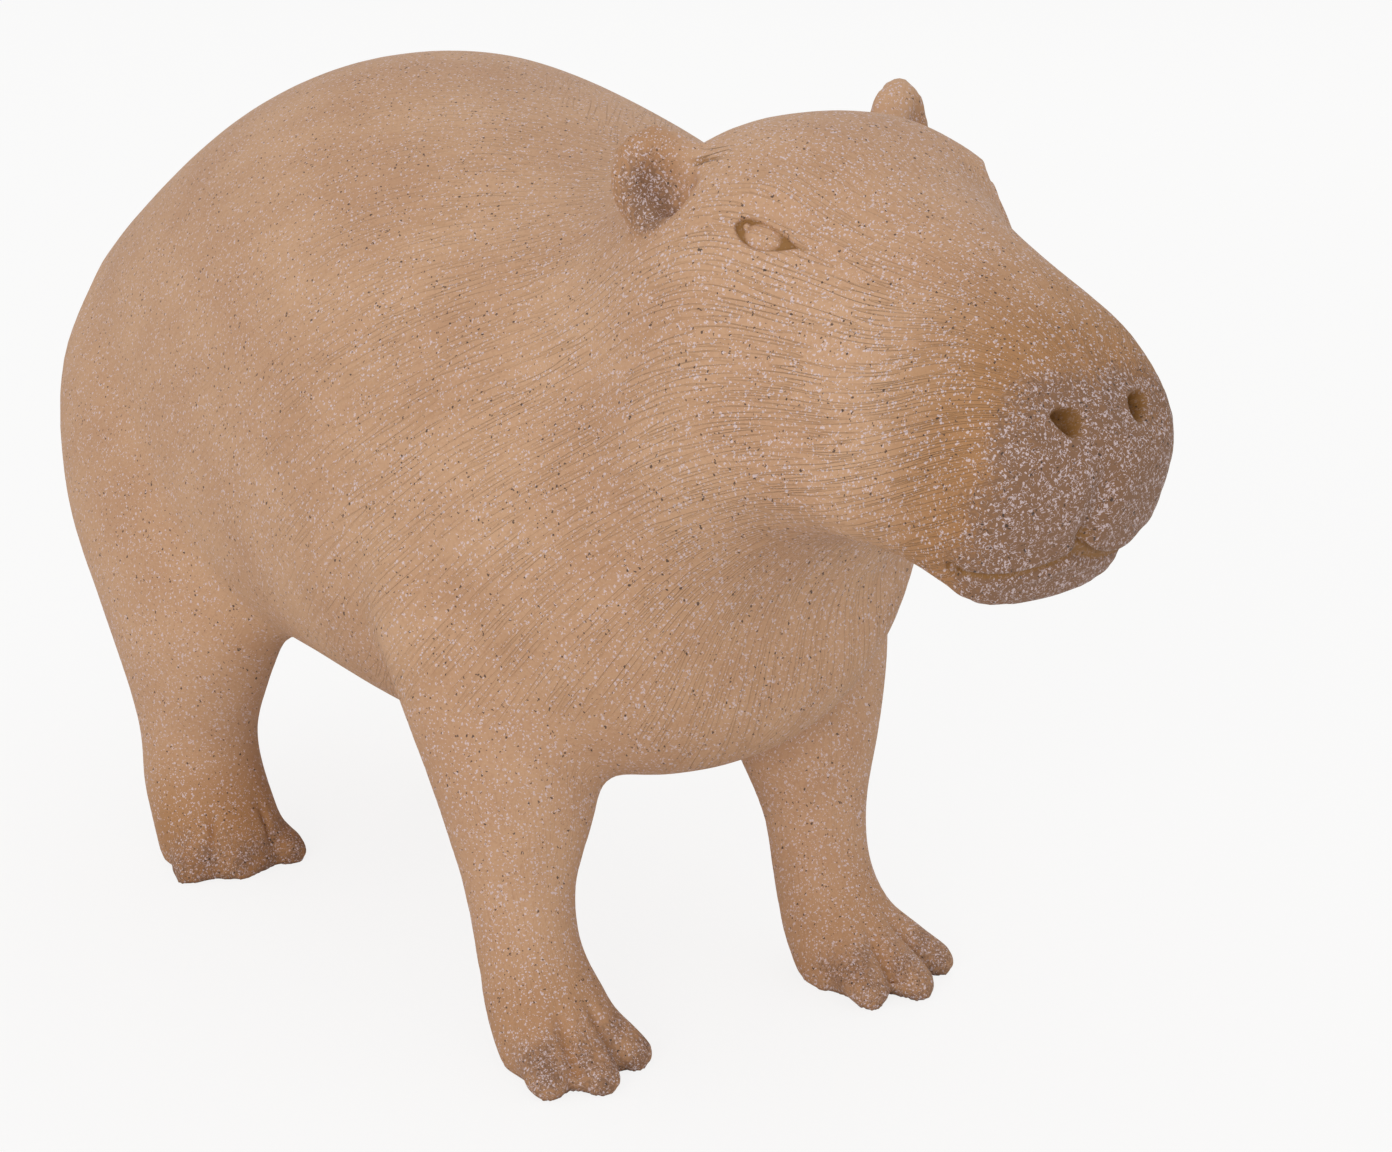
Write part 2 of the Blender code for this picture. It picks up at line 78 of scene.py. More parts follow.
# The carved figure, in millimetres and in the carver's own frame, which lies a little ahead of the part's.
# Side 1 is the animal's right and -1 its left. Unless a note says otherwise, three numbers for a cut or
# a ridge are the depth or height, the place and the width of a bell, and a pair for an edge is where its
# smooth step starts and ends.
figure = {
    "ahead": 5.4,
    "weld": 0.005,             # points of the cast form this close together are one
    "grain": 1.6,              # spacing of the first even skin
    # three rounds halve the spacing: radius round an eye and a nostril, half height along the lips,
    # radius round an ear, height over the toes
    "fineAreas": [(8.5, 7.0, 4.2, 11.5, 12.0), (6.8, 4.6, 2.7, 0.0, 0.0), (5.5, 0.0, 1.3, 0.0, 0.0)],
    "soleHigh": (0.4, 0.3),    # points below this are on the sole: on the even skin, on the refined one
    "softRounds": 24,
    "softLeast": 0.5,          # smoothing on the ears and toes, against 1 on the rest
    "softFrom": {"ear": (9, 14), "floor": (14, 24)},
    "overRounds": 70,          # rounds that level the rough eyes, nostrils and lips, and how far they reach
    "overEye": (8.0, 6.0),
    "overNostril": (6.5, 4.8),
    "overLip": (-0.2, 2.2),
    "overLipEnd": (1.2, 1.08),
    "overGroove": 2.2,
    "overGrooveHigh": [(110, 114), (133, 130)],
    "eye": {
        "rear": (101.4, -27.3, 158.1),
        "front": (110.1, -21.5, 155.3),
        "out": (0.61, -0.68, 0.41),
        "outWeight": 12,
        "thick": 5,            # skin further off its plane than this is left alone
        # farthest from the line through the corners, and the powers p and q of the arc
        "lidHigh": (2.35, 0.55, 0.6),
        "lidLow": (-2.4, 0.75, 0.9),
        "socketDeep": 0.85,
        "socketWall": (-0.08, 0.5),
        "ballMiddle": (-0.6, -0.05),
        "ballRadii": (3.25, 2.3),
        "ballRise": 0.05,
        "ballTall": 1.25,
        "highest": 0.1,        # the ball stands out no further than this
        "lid": (0.3, -0.55, 0.5),
        "lidFade": 1.6,
        "lidInner": 0.05,
        "lowerLid": 0.6,       # height against the upper lid
        "bead": (-3.7, 0.75),
        "beadRadius": 0.75,
        "beadTop": -0.1,
        "beadSide": (0.6, 0.3),
        # a fine groove that runs on ahead of the front corner: depth, width, slope, and where it ends
        "tail": (0.3, 0.32, 0.06),
        "tailEnd": (8.2, 6.0),
    },
    "nostril": {
        "middles": {1: (157.4, -6.6, 135.2), -1: (156.6, 8.8, 135.4)},
        "way": (0.1, -0.8, 0.62),            # from its round end to its narrow one, on the right
        "size": (3.1, 2.15),
        "bend": 0.05,
        "taper": 0.22,
        "deep": 4.0,
        "wall": (1.06, 0.35),
        "rim": (0.22, 1.3, 0.28),
        "reach": 7,
    },
    "mouth": {
        "lipZ": 112.9,         # the mouth line is carried over from the cast form
        "bow": 1.6,
        "fall": 2.1,
        "arch": (0.7, 0.06, 0.13),
        "middleX": 128.0,
        "turn": 47.0,          # degrees from the middle to a corner, seen from above
        "reach": 20.5,         # along the lip from the middle to a corner
        "frontOnly": 6,        # skin less far ahead of the middle than this is no lip
        "noLip": 9,            # the share that such skin gets
        "noseX": 146,
        "seam": (0.8, 0, 0.34),
        "ledgeDeep": 0.5,      # the sunk top of the lower lip, and how far it reaches down
        "ledgeDown": 0.8,
        "ledgeMiddle": (1.0, 0, 0.25),
        "ledgeEdge": 0.35,
        "lowerLip": 0.5,
        "lowerMiddle": (0.35, 0, 0.4),
        "lowerPlace": (1.2, 1.25),
        "upperLip": (0.4, 1.5, 1.2),
        "cornerBead": (0.35, 0, 0.5),
        "cornerRing": (0.6, 1.05, 0.32),
        "grooveY": -0.4,       # the groove down the nose, a wide bell and a narrow one
        "grooveWide": (1.1, 0, 2.0),
        "grooveFine": (0.3, 0, 0.5),
        "grooveTop": (129.0, 7),
        "pitDeep": 1.3,        # where the groove meets the lip: depth, place past both, radii
        "pitPlace": (0.6, 2.0),
        "pitRadii": (1.5, 1.3),
        "chinBack": 1.5,       # the lower lip stands this far behind the cast one
        "chinHigh": (0.5, -1.5),
        "chinX": (140, 154),
    },
    "ear": {
        "middle": (79.7, -26.0, 161.9),
        "across": (0.33, 0.88, 0.34),        # from the outer lobe to the rim beside the head, on the right
        "out": (0.88, -0.41, 0.2),
        "tall": (-0.32, -0.23, 0.91),
    },
    "feet": [
        # middle of the foot, then the tips of its three toes, seen from above
        ((54.0, -34.0), [(68.2, -42.9), (72.0, -34.5), (67.0, -24.0)]),
        ((54.0, 34.0), [(67.0, 47.3), (73.5, 37.0), (71.6, 27.2)]),
        ((-68.0, -37.5), [(-60.0, -48.5), (-56.5, -39.0), (-58.0, -26.3)]),
        ((-68.0, 37.5), [(-60.0, 48.5), (-56.5, 39.0), (-58.0, 26.3)]),
    ],
    "toesFrom": (54, -68),     # toes lie ahead of this, on a fore foot and on a hind one
    "cleftDeep": 1.6,
    "cleftWide": (0.9, 0.5),   # in front, and how much wider at its far end
    "cleftEnd": (0.3, 0.45),   # its far end, as shares of the way from the middle of the foot
    "cleftHigh": [(17, 11), (0.6, 2)],
}


# Smooth step from 0 at low to 1 at high: t * t * (3 - 2 t)
def stepped(value, low, high):
    t = np.clip((value - low) / (high - low), 0, 1)
    return t * t * (3 - 2 * t)


# Bell of height 1: e to the power -((value - middle) / width) squared
def bump(value, middle, width):
    return np.exp(-(((value - middle) / width) ** 2))


# The same bell from its three numbers: height, place and width
def bell(value, shape):
    high, place, width = shape
    return high * bump(value, place, width)


def fromTable(value, table):
    return np.interp(value, *np.array(table).T)


# Slow drift from 0 to 1: the mean of nine sine waves that run through the stone in fixed random directions
def drift(points, length, seed):
    count, phase, contrast = 9, 1.7, 1.1
    ways = np.random.default_rng(seed).normal(size=(count, 3))
    ways /= np.linalg.norm(ways, axis=1, keepdims=True)
    waves = np.sin(points @ ways.T * (2 * np.pi / length) + np.arange(count) * phase)
    return np.clip(0.5 + waves.mean(axis=1) * contrast, 0, 1)


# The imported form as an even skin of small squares, each split in two: points in millimetres, and triangles
def evenSkin(node, grain, weld):
    mesh = node.data.copy()
    work = bmesh.new()
    work.from_mesh(mesh)
    bmesh.ops.remove_doubles(work, verts=work.verts, dist=weld * toMetres)
    work.to_mesh(mesh)
    work.free()
    helper = bpy.data.objects.new("castForm", mesh)
    scene.collection.objects.link(helper)
    skin = helper.modifiers.new("even skin", "REMESH")
    skin.mode = "VOXEL"
    skin.voxel_size = grain * toMetres
    found = helper.evaluated_get(bpy.context.evaluated_depsgraph_get()).to_mesh()
    found.calc_loop_triangles()
    points = np.empty(len(found.vertices) * 3, np.float32)
    found.vertices.foreach_get("co", points)
    triangles = np.empty(len(found.loop_triangles) * 3, np.int32)
    found.loop_triangles.foreach_get("vertices", triangles)
    bpy.data.objects.remove(helper)
    return points.reshape(-1, 3).astype(float) * toMillimetres, triangles.reshape(-1, 3)


# Each edge once, and for each triangle the numbers of its three edges
def edgesOf(triangles):
    sides = [triangles[:, [0, 1]], triangles[:, [1, 2]], triangles[:, [2, 0]]]
    edges, number = np.unique(np.sort(np.concatenate(sides), axis=1), axis=0, return_inverse=True)
    return edges, number.reshape(3, -1).T


# Sum of the face normals round each point, made one long
def normalsOf(points, triangles):
    corner = points[triangles]
    face = np.cross(corner[:, 1] - corner[:, 0], corner[:, 2] - corner[:, 0])
    total = np.zeros_like(points)
    for k in range(3):
        for axis in range(3):
            total[:, axis] += np.bincount(triangles[:, k], face[:, axis], len(points))
    return total / np.maximum(np.linalg.norm(total, axis=1, keepdims=True), 1e-9)


# Each point moves a share of the way to the mean of its neighbours. To keep the bulk, it then moves
# slightly further back the other way.
def relaxed(points, edges, share, rounds, keepSize=True):
    there, back = 0.5, -0.53
    a, b = edges.T
    near = np.bincount(a, minlength=len(points)) + np.bincount(b, minlength=len(points))
    near = np.maximum(near, 1)
    for _ in range(rounds):
        for way in ((there, back) if keepSize else (there,)):
            sums = [
                np.bincount(a, points[b, axis], len(points)) + np.bincount(b, points[a, axis], len(points))
                for axis in range(3)
            ]
            points = points + (np.stack(sums, axis=1) / near[:, None] - points) * (share * way)[:, None]
    return points


# Halves the edges of the wanted triangles: a triangle with 3, 2 or 1 halved edges becomes 4, 3 or 2
def splitWhere(points, triangles, wanted):
    edges, number = edgesOf(triangles)
    halved = np.zeros(len(edges), bool)
    halved[number[wanted].ravel()] = True
    middle = np.full(len(edges), -1)
    middle[halved] = len(points) + np.arange(halved.sum())
    points = np.vstack([points, points[edges[halved]].mean(axis=1)])
    mids = middle[number]
    count = (mids >= 0).sum(axis=1)
    kept = [triangles[count == 0]]
    for halves in (1, 2, 3):
        tri, mid = triangles[count == halves], mids[count == halves]
        if halves < 3:
            # turned round so that the odd edge, halved or whole, comes first
            odd = np.argmax(mid >= 0, axis=1) if halves == 1 else np.argmin(mid, axis=1)
            order = (odd[:, None] + np.arange(3)) % 3
            tri, mid = np.take_along_axis(tri, order, 1), np.take_along_axis(mid, order, 1)
        a, b, c = tri.T
        ab, bc, ca = mid.T
        if halves == 1:
            parts = [(a, ab, c), (ab, b, c)]
        elif halves == 2:
            parts = [(c, ca, bc), (a, b, bc), (a, bc, ca)]
        else:
            parts = [(a, ab, ca), (ab, b, bc), (ca, bc, c), (ab, bc, ca)]
        kept += [np.stack(part, axis=1) for part in parts]
    return points, np.vstack(kept)


# Distance of every point from one place
def reach(points, middle):
    return np.linalg.norm(points - np.array(middle), axis=1)


def mirror(place, side):
    return np.array([place[0], place[1] * side, place[2]])


def eyeMiddles(e):
    return [mirror((np.array(e["rear"]) + e["front"]) / 2, side) for side in (1, -1)]


def earFar(points, ear):
    right, left = (reach(points, mirror(ear["middle"], side)) for side in (1, -1))
    return np.minimum(right, left)


# Share of the way from the middle of the mouth (0) to its corner (1), and height over the lip line there:
# lip height - bow * sin(pi * share) - fall * share, with a small arch in the middle
def mouthPlace(points, m):
    turn = np.degrees(np.arctan2(points[:, 1], points[:, 0] - m["middleX"])) / m["turn"]
    share = np.abs(turn)
    line = m["lipZ"] - m["bow"] * np.sin(np.pi * np.minimum(share, 1)) - m["fall"] * share
    line += bell(turn, m["arch"])
    ahead = points[:, 0] > m["middleX"] + m["frontOnly"]
    return np.where(ahead, share, m["noLip"]), points[:, 2] - line


# Middle of a spot on the skin, from the 12 nearest points, and three square axes there: along, up and out
def skinFrame(points, normals, spot, along, out, side):
    near = np.argsort(reach(points, spot))[:12]
    middle = points[near].mean(axis=0)
    out = normals[near].sum(axis=0) + out
    out /= np.linalg.norm(out)
    along = along - out * (along @ out)
    along /= np.linalg.norm(along)
    return middle, along, np.cross(out, along) * side, out


# An eye: a flat floor inside two lid arcs, an oval ball that stands on it about as high as the skin, a bead
# in the rear corner, and soft lids. Each arc is height * sin(pi * t^p)^q, with t from the rear corner to
# the front one.
def carveEye(points, normals, f, side):
    e = f["eye"]
    rear, front = mirror(e["rear"], side), mirror(e["front"], side)
    half = np.linalg.norm(front - rear) / 2
    outward = mirror(e["out"], side) * e["outWeight"]
    middle, along, up, out = skinFrame(points, normals, (rear + front) / 2, front - rear, outward, side)
    offset = points - middle
    u, v, w = offset @ along, offset @ up, offset @ out
    near = (np.hypot(u, v) < half * 2) & (np.abs(w) < e["thick"])
    t = np.clip((u + half) / (2 * half), 0, 1)
    high, low = (arc * np.sin(np.pi * t**p) ** q for arc, p, q in (e["lidHigh"], e["lidLow"]))
    inside = np.minimum(high - v, v - low)
    inside = np.where(np.abs(u) > half, -np.hypot(np.abs(u) - half, v), inside)
    wall, foot = e["socketWall"]
    floor = -e["socketDeep"] * stepped(inside, wall, foot)
    ballU, ballV = ((value - m) / r for value, m, r in zip((u, v), e["ballMiddle"], e["ballRadii"]))
    oval = np.hypot(ballU, ballV)
    ball = e["ballRise"] - e["ballTall"] * (1 - np.sqrt(np.maximum(1 - oval**2, 0)))
    shown = np.minimum(np.maximum(floor, ball), e["highest"])
    beadU, beadV = e["bead"]
    beadFar = np.hypot(u - beadU, v - beadV)
    lid = bell(inside, e["lid"]) * stepped(half * 1.3 - np.abs(u), 0, e["lidFade"])
    lid *= np.where(v > 0, 1.0, e["lowerLid"])
    deep, width, slope = e["tail"]
    tail = -deep * bump(v, 0.1 + slope * (u - half), width)
    tail *= stepped(u, half - 0.8, half) * stepped(u, *e["tailEnd"])
    height = np.where(inside > wall, shown, 0) + lid * (inside < e["lidInner"]) + tail
    deep, width = e["beadSide"]
    beadHeight = e["beadTop"] - deep * bump(beadFar, e["beadRadius"], width)
    height = np.where(beadFar < e["beadRadius"], beadHeight, height)
    recess = stepped(-floor, 0.2, 0.8) * stepped(ball - floor, 0.3, -0.1)
    recess = np.maximum(recess * stepped(beadFar, 0.45, 0.7), 0.7 * stepped(-tail, 0.1, 0.3))
    return np.where(near, height, 0)[:, None] * out, np.where(near, np.clip(recess, 0, 1), 0)


# A nostril: a comma-shaped pit that is round at its inner end and narrows up and out, with a soft rim
def carveNostril(points, normals, f, side):
    n = f["nostril"]
    way = mirror(n["way"], side)
    middle, along, up, out = skinFrame(points, normals, n["middles"][side], way, np.zeros(3), side)
    offset = points - middle
    u, v = offset @ along, offset @ up
    close = reach(points, middle) < n["reach"]
    length, width = n["size"]
    far = np.hypot(u / length, (v - n["bend"] * u**2) / (width - n["taper"] * np.clip(u, -3, 3)))
    pit = -n["deep"] * stepped(far, *n["wall"])
    height = pit + bell(far, n["rim"])
    return np.where(close, height, 0)[:, None] * out, np.where(close, stepped(far, 1.15, 0.75), 0)


# The mouth, by height over the lip line: a narrow seam, under it the sunk top of the lower lip, then the
# lower lip that stands out, and a rolled upper lip. A bead sits in a ring at each corner. A soft groove
# comes down the nose.
def carveMouth(points, normals, f):
    m = f["mouth"]
    share, h = mouthPlace(points, m)
    inMouth = stepped(share, 1.03, 0.95)
    down = m["ledgeDown"] + bell(share, m["ledgeMiddle"])
    edge = m["ledgeEdge"]
    seam = -bell(h, m["seam"]) * inMouth
    ledge = -m["ledgeDeep"] * stepped(h, -down - edge, -down + edge) * stepped(h, 0.25, -0.15) * inMouth
    below, width = m["lowerPlace"]
    lower = (m["lowerLip"] + bell(share, m["lowerMiddle"])) * bump(h, -down - below, width)
    lower *= stepped(share, 1.02, 0.6)
    upper = bell(h, m["upperLip"]) * stepped(share, 1.08, 0.8)
    ring = np.hypot((share - 1) * m["reach"], h)
    corner = np.where(share < 2, bell(ring, m["cornerBead"]) - bell(ring, m["cornerRing"]), 0)
    y, z = points[:, 1] - m["grooveY"], points[:, 2]
    front = points[:, 0] > m["noseX"]
    top, fade = m["grooveTop"]
    tall = stepped(z, m["lipZ"] - 0.5, m["lipZ"] + 2) * stepped(z, top, top - fade)
    groove = -(bell(y, m["grooveWide"]) + bell(y, m["grooveFine"])) * tall
    (pitY, pitZ), (wide, high) = m["pitPlace"], m["pitRadii"]
    pit = -m["pitDeep"] * bump(np.hypot((y - pitY) / wide, (z - m["lipZ"] - pitZ) / high), 0, 1)
    height = seam + ledge + lower + upper + corner + np.where(front, groove + pit, 0)
    recess = np.maximum(0.85 * stepped(-ledge, 0.08, 0.35), bump(h, 0.05, 0.42) * inMouth)
    recess = np.maximum(recess, np.where(front, 0.9 * stepped(-pit, 0.35, 1.0), 0))
    recess = np.maximum(recess, np.where(share < 2, 0.8 * bump(ring, 1.05, 0.4), 0))
    return height[:, None] * normals, np.clip(recess, 0, 1)


# The clefts between the toes: a bell-shaped cut along a line from between two tips towards the middle of
# the foot, deepest in front and gone at its far end
def carveFeet(points, normals, f):
    depth = np.zeros(len(points))
    narrow, widening = f["cleftWide"]
    for root, tips in f["feet"]:
        for one, other in zip(tips, tips[1:]):
            front = (np.array(one) + other) / 2
            back = np.array(root) + (front - root) * np.array(f["cleftEnd"])
            line = back - front
            t = ((points[:, :2] - front) @ line) / (line @ line)
            aside = np.linalg.norm(points[:, :2] - front - np.clip(t, -0.2, 1)[:, None] * line, axis=1)
            cut = bump(aside, 0, narrow + widening * np.clip(t, 0, 1)) * stepped(t, 1, 0.25)
            depth = np.maximum(depth, cut * (t > -0.3))
    for fade in f["cleftHigh"]:
        depth *= stepped(points[:, 2], *fade)
    depth *= stepped(normals[:, 2], -0.1, 0.25)
    return (-f["cleftDeep"] * depth)[:, None] * normals, depth


# Where the rough eyes, nostrils, lip line and nose groove of the cast form are, as shares from 0 to 1
def roughAreas(points, f):
    x, y, z = points.T
    share, h = mouthPlace(points, f["mouth"])
    spots = bump(h, *f["overLip"]) * stepped(share, *f["overLipEnd"])
    groove = bump(y, 0, f["overGroove"]) * (x > f["mouth"]["noseX"])
    for fade in f["overGrooveHigh"]:
        groove = groove * stepped(z, *fade)
    spots = np.maximum(spots, groove)
    for eye in eyeMiddles(f["eye"]):
        spots = np.maximum(spots, stepped(reach(points, eye), *f["overEye"]))
    for nostril in f["nostril"]["middles"].values():
        spots = np.maximum(spots, stepped(reach(points, nostril), *f["overNostril"]))
    return spots


# Which triangles get halved edges in one round
def fineWanted(points, triangles, f, area):
    eyeSize, noseSize, lipSize, earSize, toeHigh = area
    middle = points[triangles].mean(axis=1)
    share, h = mouthPlace(middle, f["mouth"])
    wanted = (np.abs(h + 0.4) < lipSize) & (share < 1.2)
    for eye in eyeMiddles(f["eye"]):
        wanted |= reach(middle, eye) < eyeSize
    for nostril in f["nostril"]["middles"].values():
        wanted |= reach(middle, nostril) < noseSize
    wanted |= earFar(middle, f["ear"]) < earSize
    x, _, z = middle.T
    foreFrom, hindFrom = f["toesFrom"]
    return wanted | ((z < toeHigh) & ((x > foreFrom) | ((x < 0) & (x > hindFrom))))


def carvedFigure(node, f):
    points, triangles = evenSkin(node, f["grain"], f["weld"])
    points[:, 0] += f["ahead"]
    soleHigh, fineSoleHigh = f["soleHigh"]
    sole = points[:, 2] < soleHigh
    edges, _ = edgesOf(triangles)
    offEar = stepped(earFar(points, f["ear"]), *f["softFrom"]["ear"])
    offFloor = stepped(points[:, 2], *f["softFrom"]["floor"])
    soft = f["softLeast"] + (1 - f["softLeast"]) * np.minimum(offEar, offFloor)
    points = relaxed(points, edges, soft, f["softRounds"])
    # the rough forms are levelled first, then carved finely
    points = relaxed(points, edges, roughAreas(points, f), f["overRounds"], keepSize=False)
    points[sole, 2] = 0
    mouth = f["mouth"]
    _, h = mouthPlace(points, mouth)
    lowered = stepped(h, *mouth["chinHigh"])
    points[:, 0] -= mouth["chinBack"] * lowered * stepped(points[:, 0], *mouth["chinX"])
    print("even skin:", len(triangles), "triangles")
    for area in f["fineAreas"]:
        points, triangles = splitWhere(points, triangles, fineWanted(points, triangles, f, area))
        edges, _ = edgesOf(triangles)
        sole = points[:, 2] < fineSoleHigh
        points = relaxed(points, edges, np.full(len(points), 0.9), 3)
        points[sole, 2] = 0
    print("refined skin:", len(triangles), "triangles")
    normals = normalsOf(points, triangles)
    move, recess = carveMouth(points, normals, f)
    more, cleft = carveFeet(points, normals, f)
    move = move + more
    for side in (1, -1):
        for carve in (carveEye, carveNostril):
            more, deep = carve(points, normals, f, side)
            move = move + more
            recess = np.maximum(recess, deep)
    shaped = points + move
    shaped[points[:, 2] < fineSoleHigh, 2] = 0
    return points, shaped, triangles, normals, recess, cleft


# The coat: how its carved strokes run and how much painted shade their beds get, and where the tinted stone
# is washed over darker, in the ear hollows partly as painted shade (millimetres)
coat = {
    "axisHigh": (108.0, 124.0, 133.0),   # middle of the body, of the head and of the nose
    "neckX": (35, 115),
    "noseX": (120, 160),
    "roundRadius": 46.0,
    "legRound": 12.0,
    "shear": 2.7,
    "inward": 0.5,             # weight of the third direction, which runs through the stone
    # how steeply the strokes climb towards the head, by place along the body
    "climb": [
        (-150, 0.35), (-60, 0.46), (0, 0.55), (40, 0.62), (75, 0.3), (110, 0.22), (135, 0.12), (160, 0.0),
    ],
    "climbSpan": (-160, 170),  # where the sum of the climb starts and ends
    # how strong the strokes are, by place along the body: how deep each stroke's bump is and how much
    # painted shade its bed gets
    "strong": [(-150, 0.15), (-80, 0.2), (-20, 0.35), (30, 0.75), (90, 0.8), (120, 1.0), (160, 1.0)],
    "strongLeg": 0.4,
    "strongTop": 0.45,         # on the flat top of the neck and head
    # the strokes at the nape are made strong, so their beds carry painted shade of the crease between ear
    # and back
    "strongNape": 3.0,
    "nape": (87.4, -22.0, 166.9),        # a few deep strokes between ear and back
    # where the wash over the muzzle ends, by height
    "washEdge": [
        (104, 144.0), (110, 147.0), (114, 150.5), (124, 154.3), (132, 156.3), (139, 155.4), (146, 157.0),
    ],
    "washRagged": 3,
    "legSplitX": -5,           # fore legs ahead of this, hind legs behind
    "legX": (48.0, -75.0),     # fore and hind
    "legY": (33.5, 38.0),
    "legTop": (78, 46),
    "legRadii": (30, 20),
    # middle of a leg along the body, by height
    "foreAxis": [(0, 56), (20, 49), (45, 44), (80, 36)],
    "hindAxis": [(0, -68), (20, -74), (45, -74), (80, -80)],
    "toeX": (61, -66),         # the toes start about here, on a fore foot and on a hind one
    "footWarm": (0.5, 0.9),
    # the ear's wash is light over its inner face and deep in the hollow: the purple wash, with painted shade
    # of the hollow on top
    "earMiddle": (-3.2, -1.6),           # the dark hollow of the ear, across and up from its middle
    "earRadii": (6.0, 9.5),
    "patches": [(0.65, 34, 1), (0.35, 11, 2)],       # share, length and seed of the mottling
    "grit": (0.5, 0.27, 0.25, 0.05),     # share of pale grains: least, and more on head, legs and wash
    "gritHead": (40, 95),
}


# 1 inside a leg under the body, 0 well off it
def legShareAt(points, c):
    x, y, z = points.T
    fore = x > c["legSplitX"]
    legX, legY = np.where(fore, *c["legX"]), np.where(fore, *c["legY"])
    return stepped(z, *c["legTop"]) * stepped(np.hypot(x - legX, np.abs(y) - legY), *c["legRadii"])


# Across the strokes: radius * angle round the body axis, counted down from the back line, plus the sum of
# the climb along the body. Along the strokes: the length of the body. On a leg: radius * angle round its
# axis, and the height. Both lengths are sheared, so that neighbouring strokes do not start in one row.
def coatFlow(points, legShare, c):
    x, y, z = points.T
    body, head, nose = c["axisHigh"]
    middle = body + (head - body) * stepped(x, *c["neckX"]) + (nose - head) * stepped(x, *c["noseX"])
    first, last = c["climbSpan"]
    marks = np.linspace(first, last, last - first + 1)
    climbed = np.cumsum(fromTable(marks, c["climb"]))
    across = c["roundRadius"] * np.abs(np.arctan2(y, z - middle)) + np.interp(x, marks, climbed)
    trunk = np.stack([across, x + c["shear"] * across, y * c["inward"]], axis=1)
    fore = x > c["legSplitX"]
    axisX = np.where(fore, fromTable(z, c["foreAxis"]), fromTable(z, c["hindAxis"]))
    around = c["legRound"] * np.abs(np.arctan2(x - axisX, np.abs(y) - np.where(fore, *c["legY"])))
    leg = np.stack([around, z + c["shear"] * around, x * c["inward"]], axis=1)
    return np.where((legShare > 0.5)[:, None], leg, trunk)


# The purple wash and the ochre left round it, on the muzzle, the feet and in the ears. In an ear the wash
# deepens into its hollow, and that deepening is painted shade of the hollow.
def coatWash(points, normals, cleft, c, f):
    x, _, z = points.T
    ahead = x - fromTable(z, c["washEdge"]) + c["washRagged"] * (drift(points, 9, 3) - 0.5)
    muzzle = stepped(ahead, -8, 2.5)
    warm = stepped(ahead, -34, -2) ** 1.2
    fore = x > c["legSplitX"]
    toeAhead = x - np.where(fore, *c["toeX"])
    toes = stepped(z, 15, 5) * stepped(toeAhead, -6, 5)
    warm = np.maximum(warm, np.where(fore, *c["footWarm"]) * stepped(z, 34, 10) * stepped(toeAhead, -20, 0))
    warm = np.maximum(warm, 0.9 * cleft)
    wash = np.maximum(muzzle, toes * (0.3 + 0.5 * drift(points, 6, 9)) * (1 - 0.8 * cleft))
    ear = f["ear"]
    (hollowAcross, hollowTall), (wide, high) = c["earMiddle"], c["earRadii"]
    for side in (1, -1):
        offset = points - mirror(ear["middle"], side)
        across, tall = offset @ mirror(ear["across"], side), offset @ mirror(ear["tall"], side)
        far = np.hypot((across - hollowAcross) / wide, (tall - hollowTall) / high)
        hollow = stepped(far, 1.15, 0.2)
        facing = stepped(normals @ mirror(ear["out"], side), -0.1, 0.4)
        near = stepped(np.linalg.norm(offset, axis=1), 12, 9)
        # a light wash over the inner face of the ear, deepening into the hollow as painted shade
        wash = np.maximum(wash, (0.15 + 0.75 * hollow) * stepped(across, 6, 3) * facing * near)
        warm = np.maximum(warm, 0.55 * stepped(across, 6, 1) * facing * near)
    return wash, warm, muzzle


# How strong the strokes are: full on cheek and shoulder, faint on rump and legs, none on the muzzle. The
# strength sets both a stroke's bump and the painted shade in its bed.
def coatStrong(points, normals, recess, legShare, muzzle, c, f):
    x = points[:, 0]
    strong = fromTable(x, c["strong"]) * (1 - (1 - c["strongLeg"]) * legShare)
    strong *= stepped(np.abs(legShare - 0.5), 0.02, 0.35)
    strong *= 1 - (1 - c["strongTop"]) * stepped(normals[:, 2], 0.4, 0.9) * stepped(x, 40, 70)
    strong *= (0.45 + 0.55 * drift(points, 13, 5)) * (1 - muzzle) * (1 - recess)
    strong *= stepped(earFar(points, f["ear"]), 9, 14)
    # the strong strokes at the nape paint the shade of the crease between ear and back
    for side in (1, -1):
        nape = stepped(reach(points, mirror(c["nape"], side)), 4.5, 1.5)
        strong = np.maximum(strong, c["strongNape"] * nape)
    return strong


def pieceFrom(name, points, triangles, attributes):
    mesh = bpy.data.meshes.new(name)
    mesh.vertices.add(len(points))
    mesh.vertices.foreach_set("co", (points * toMetres).astype(np.float32).ravel())
    mesh.loops.add(len(triangles) * 3)
    mesh.loops.foreach_set("vertex_index", triangles.astype(np.int32).ravel())
    mesh.polygons.add(len(triangles))
    mesh.polygons.foreach_set("loop_start", np.arange(len(triangles), dtype=np.int32) * 3)
    mesh.polygons.foreach_set("use_smooth", np.ones(len(triangles), bool))
    mesh.update(calc_edges=True)
    mesh.validate()
    for key, values in attributes.items():
        layer = mesh.attributes.new(key, "FLOAT_VECTOR", "POINT")
        layer.data.foreach_set("vector", values.astype(np.float32).ravel())
    obj = bpy.data.objects.new(name, mesh)
    scene.collection.objects.link(obj)
    return obj


